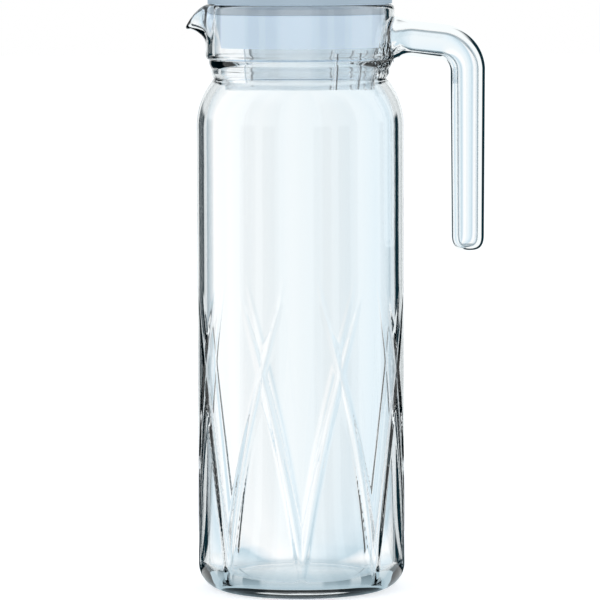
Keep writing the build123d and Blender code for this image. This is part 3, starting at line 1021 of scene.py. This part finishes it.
for vertex in handle_vertices:
    out = vertex[0] - math.sqrt(max(COLLAR_RADIUS**2 - vertex[1] ** 2, 0))
    if out < FOLD_REACH:
        lower = (ARM_HEIGHT + FOLD_ABOVE - vertex[2]) / FOLD_LOWER_OVER
        lower = min(1.0, max(FOLD_LEAST, lower))
        starts = max(0.0, min(1.0, (out - FOLD_FROM) / (FOLD_FULL - FOLD_FROM)))
        weight = starts * max(0.0, 1 - out / FOLD_REACH) * lower
        fold = crinkle(*vertex) * FOLD_SIZE * weight
        away = vertex - np.array([vertex[0], 0, ARM_HEIGHT])
        vertex += away / (np.linalg.norm(away) + TINY) * fold
        vertex[0] += fold * FOLD_FORWARD

# the first ring goes back to just inside the collar's skin
sunk_radius = COLLAR_RADIUS - SUNK
for vertex in handle_vertices[:AROUND]:
    vertex[0] = math.sqrt(sunk_radius**2 - vertex[1] ** 2)
print("folds up to", FOLD_SIZE, "mm high")

# %% [markdown]
# ## The handle's two ends
#
# The free end is a soft dome, as a flame leaves it. The other end lies inside the collar and
# isn't seen, but the rod has to be closed, or its glass would have no inside. One flat face could
# close it, but it would cut across the collar's wall. Rings that shrink over the round of the
# collar stay inside it.

# %% Ends of the rod
DOME_ROWS = 12
DOME_POWER = 0.55
DOME_LEAST = 0.02
FOOT_RINGS = 8

end_x, end_z, _ = stations[-1]
for row in range(1, DOME_ROWS + 1):
    turn = math.pi / 2 * row / DOME_ROWS
    share = TIP_SHARE * max(math.cos(turn), DOME_LEAST) ** DOME_POWER
    for step in range(AROUND):
        around = 2 * math.pi * step / AROUND
        handle_vertices.append(np.array([
            end_x + math.cos(around) * HANDLE_HALF_THICKNESS * share,
            math.sin(around) * HANDLE_HALF_WIDTH * share,
            end_z - (end_z - LEG_BOTTOM) * math.sin(turn),
        ]))
handle_rows = len(handle_vertices) // AROUND
tip = len(handle_vertices)
handle_vertices.append(np.array([end_x, 0, LEG_BOTTOM]))

starts = [0]
for ring in range(1, FOOT_RINGS):
    shrink = 1 - ring / FOOT_RINGS
    starts.append(len(handle_vertices))
    for _, side, rise in handle_vertices[:AROUND]:
        y, z = side * shrink, ARM_HEIGHT + (rise - ARM_HEIGHT) * shrink
        handle_vertices.append(np.array([math.sqrt(sunk_radius**2 - y**2), y, z]))
foot_middle = len(handle_vertices)
handle_vertices.append(np.array([sunk_radius, 0, ARM_HEIGHT]))
print("handle ends:", DOME_ROWS, "rings on the dome and", FOOT_RINGS, "in the foot")

# %% Handle
handle_faces = grid_faces(handle_rows, AROUND)
last = (handle_rows - 1) * AROUND
for step in range(AROUND):
    beside = (step + 1) % AROUND
    handle_faces.append((tip, last + step, last + beside))
    for near, far in zip(starts, starts[1:]):
        handle_faces.append((near + beside, near + step, far + step, far + beside))
    handle_faces.append((foot_middle, starts[-1] + beside, starts[-1] + step))

handle = mesh_piece("jug_handle", np.array(handle_vertices) * MM, handle_faces, rod_glass_painted_edge)
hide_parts("glass_handle")
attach(handle, "jug")
print("handle:", len(handle_vertices), "points,", len(handle_faces) * 2, "triangles")

# %% [markdown]
# ## The plastics of the lid
#
# The lid is moulded in a pale milky plastic, its skirt in a nearly clear one, and the ring in
# its groove in a soft one. A slow noise varies how milky each is, as in a thin moulding, and a
# fine one makes its skin uneven. All three read Object coordinates, so that the grain keeps its
# size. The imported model's own shapes are right for these pieces, so they only get a finish.
#
# Light that goes into the milky plastic spreads inside and comes out on all sides. Subsurface
# scattering would work that out, but it is slow and noisy behind glass, so a faint light of its
# own stands in for it. No light comes through the foot of the flange, where it sits on the rim, and
# a soft darker band shows that.

# %% Plastic material
PLASTIC_INDEX = 1.49
CLOUD_SCALE = 30
LEAST_ROUGH, MOST_ROUGH = 0.8, 1.2
# heights in metres, as Object coordinates have them
SHADE_BEGINS = (0.2549, 0.2553)
SHADE_ENDS = (0.2572, 0.2600)


def noise(tree, where, scale):
    node = add_node(tree, "ShaderNodeTexNoise")
    node.inputs["Scale"].default_value = scale
    tree.links.new(where, node.inputs["Vector"])
    return node.outputs["Fac"]


def plastic_finish(name, pale, deep, roughness, transmission, grain, grain_height, shade=None):
    material = bpy.data.materials.new(name)
    material.use_nodes = True
    tree = material.node_tree
    shader = tree.nodes["Principled BSDF"]
    shader.inputs["Transmission Weight"].default_value = transmission
    shader.inputs["IOR"].default_value = PLASTIC_INDEX
    where = add_node(tree, "ShaderNodeTexCoord").outputs["Object"]
    colour = mix_colour(tree, noise(tree, where, CLOUD_SCALE), pale, deep)
    if shade:
        band = soft_band(tree, split_vector(tree, where)["Z"], SHADE_BEGINS, SHADE_ENDS)
        colour = mix_colour(tree, band, colour, shade)
    tree.links.new(colour, shader.inputs["Base Color"])
    uneven = noise(tree, where, grain)
    limits = (roughness * LEAST_ROUGH, roughness * MOST_ROUGH)
    tree.links.new(map_value(tree, uneven, 0.0, 1.0, *limits), shader.inputs["Roughness"])
    bump = add_node(tree, "ShaderNodeBump")
    bump.inputs["Distance"].default_value = grain_height
    tree.links.new(uneven, bump.inputs["Height"])
    tree.links.new(bump.outputs[0], shader.inputs["Normal"])
    return material


# %% [markdown]
# ## Dressing the lid
#
# The cap is frosted and has the inner light. The strainer is nearly clear and smooth, so that its
# slits and the back of the glass show through it. The ring is dull and a little darker. Three
# materials could be built by hand, but one recipe with named numbers shows how they differ.

# %% The three plastics
INNER_LIGHT = (0.66, 0.84, 1.0, 1)
INNER_LIGHT_STRENGTH = 0.22

frosted = plastic_finish(
    "frosted_plastic", pale=(0.80, 0.87, 0.93, 1), deep=(0.73, 0.82, 0.90, 1), roughness=0.45,
    transmission=0.05, grain=900, grain_height=0.00004, shade=(0.22, 0.27, 0.31, 1),
)
milky = frosted.node_tree.nodes["Principled BSDF"]
milky.inputs["Emission Color"].default_value = INNER_LIGHT
milky.inputs["Emission Strength"].default_value = INNER_LIGHT_STRENGTH
nearly_clear = plastic_finish(
    "clear_plastic", pale=(0.93, 0.96, 0.98, 1), deep=(0.88, 0.93, 0.96, 1), roughness=0.06,
    transmission=0.92, grain=400, grain_height=0.00001,
)
soft_ring = plastic_finish(
    "soft_seal", pale=(0.74, 0.81, 0.87, 1), deep=(0.68, 0.76, 0.83, 1), roughness=0.5,
    transmission=0.15, grain=1200, grain_height=0.00003,
)
for node, finish in (("lid_cap", frosted), ("strainer", nearly_clear), ("lid_seal", soft_ring)):
    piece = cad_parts[node]
    piece.data.materials.clear()
    piece.data.materials.append(finish)
    print("dressed", node, "in", finish.name)
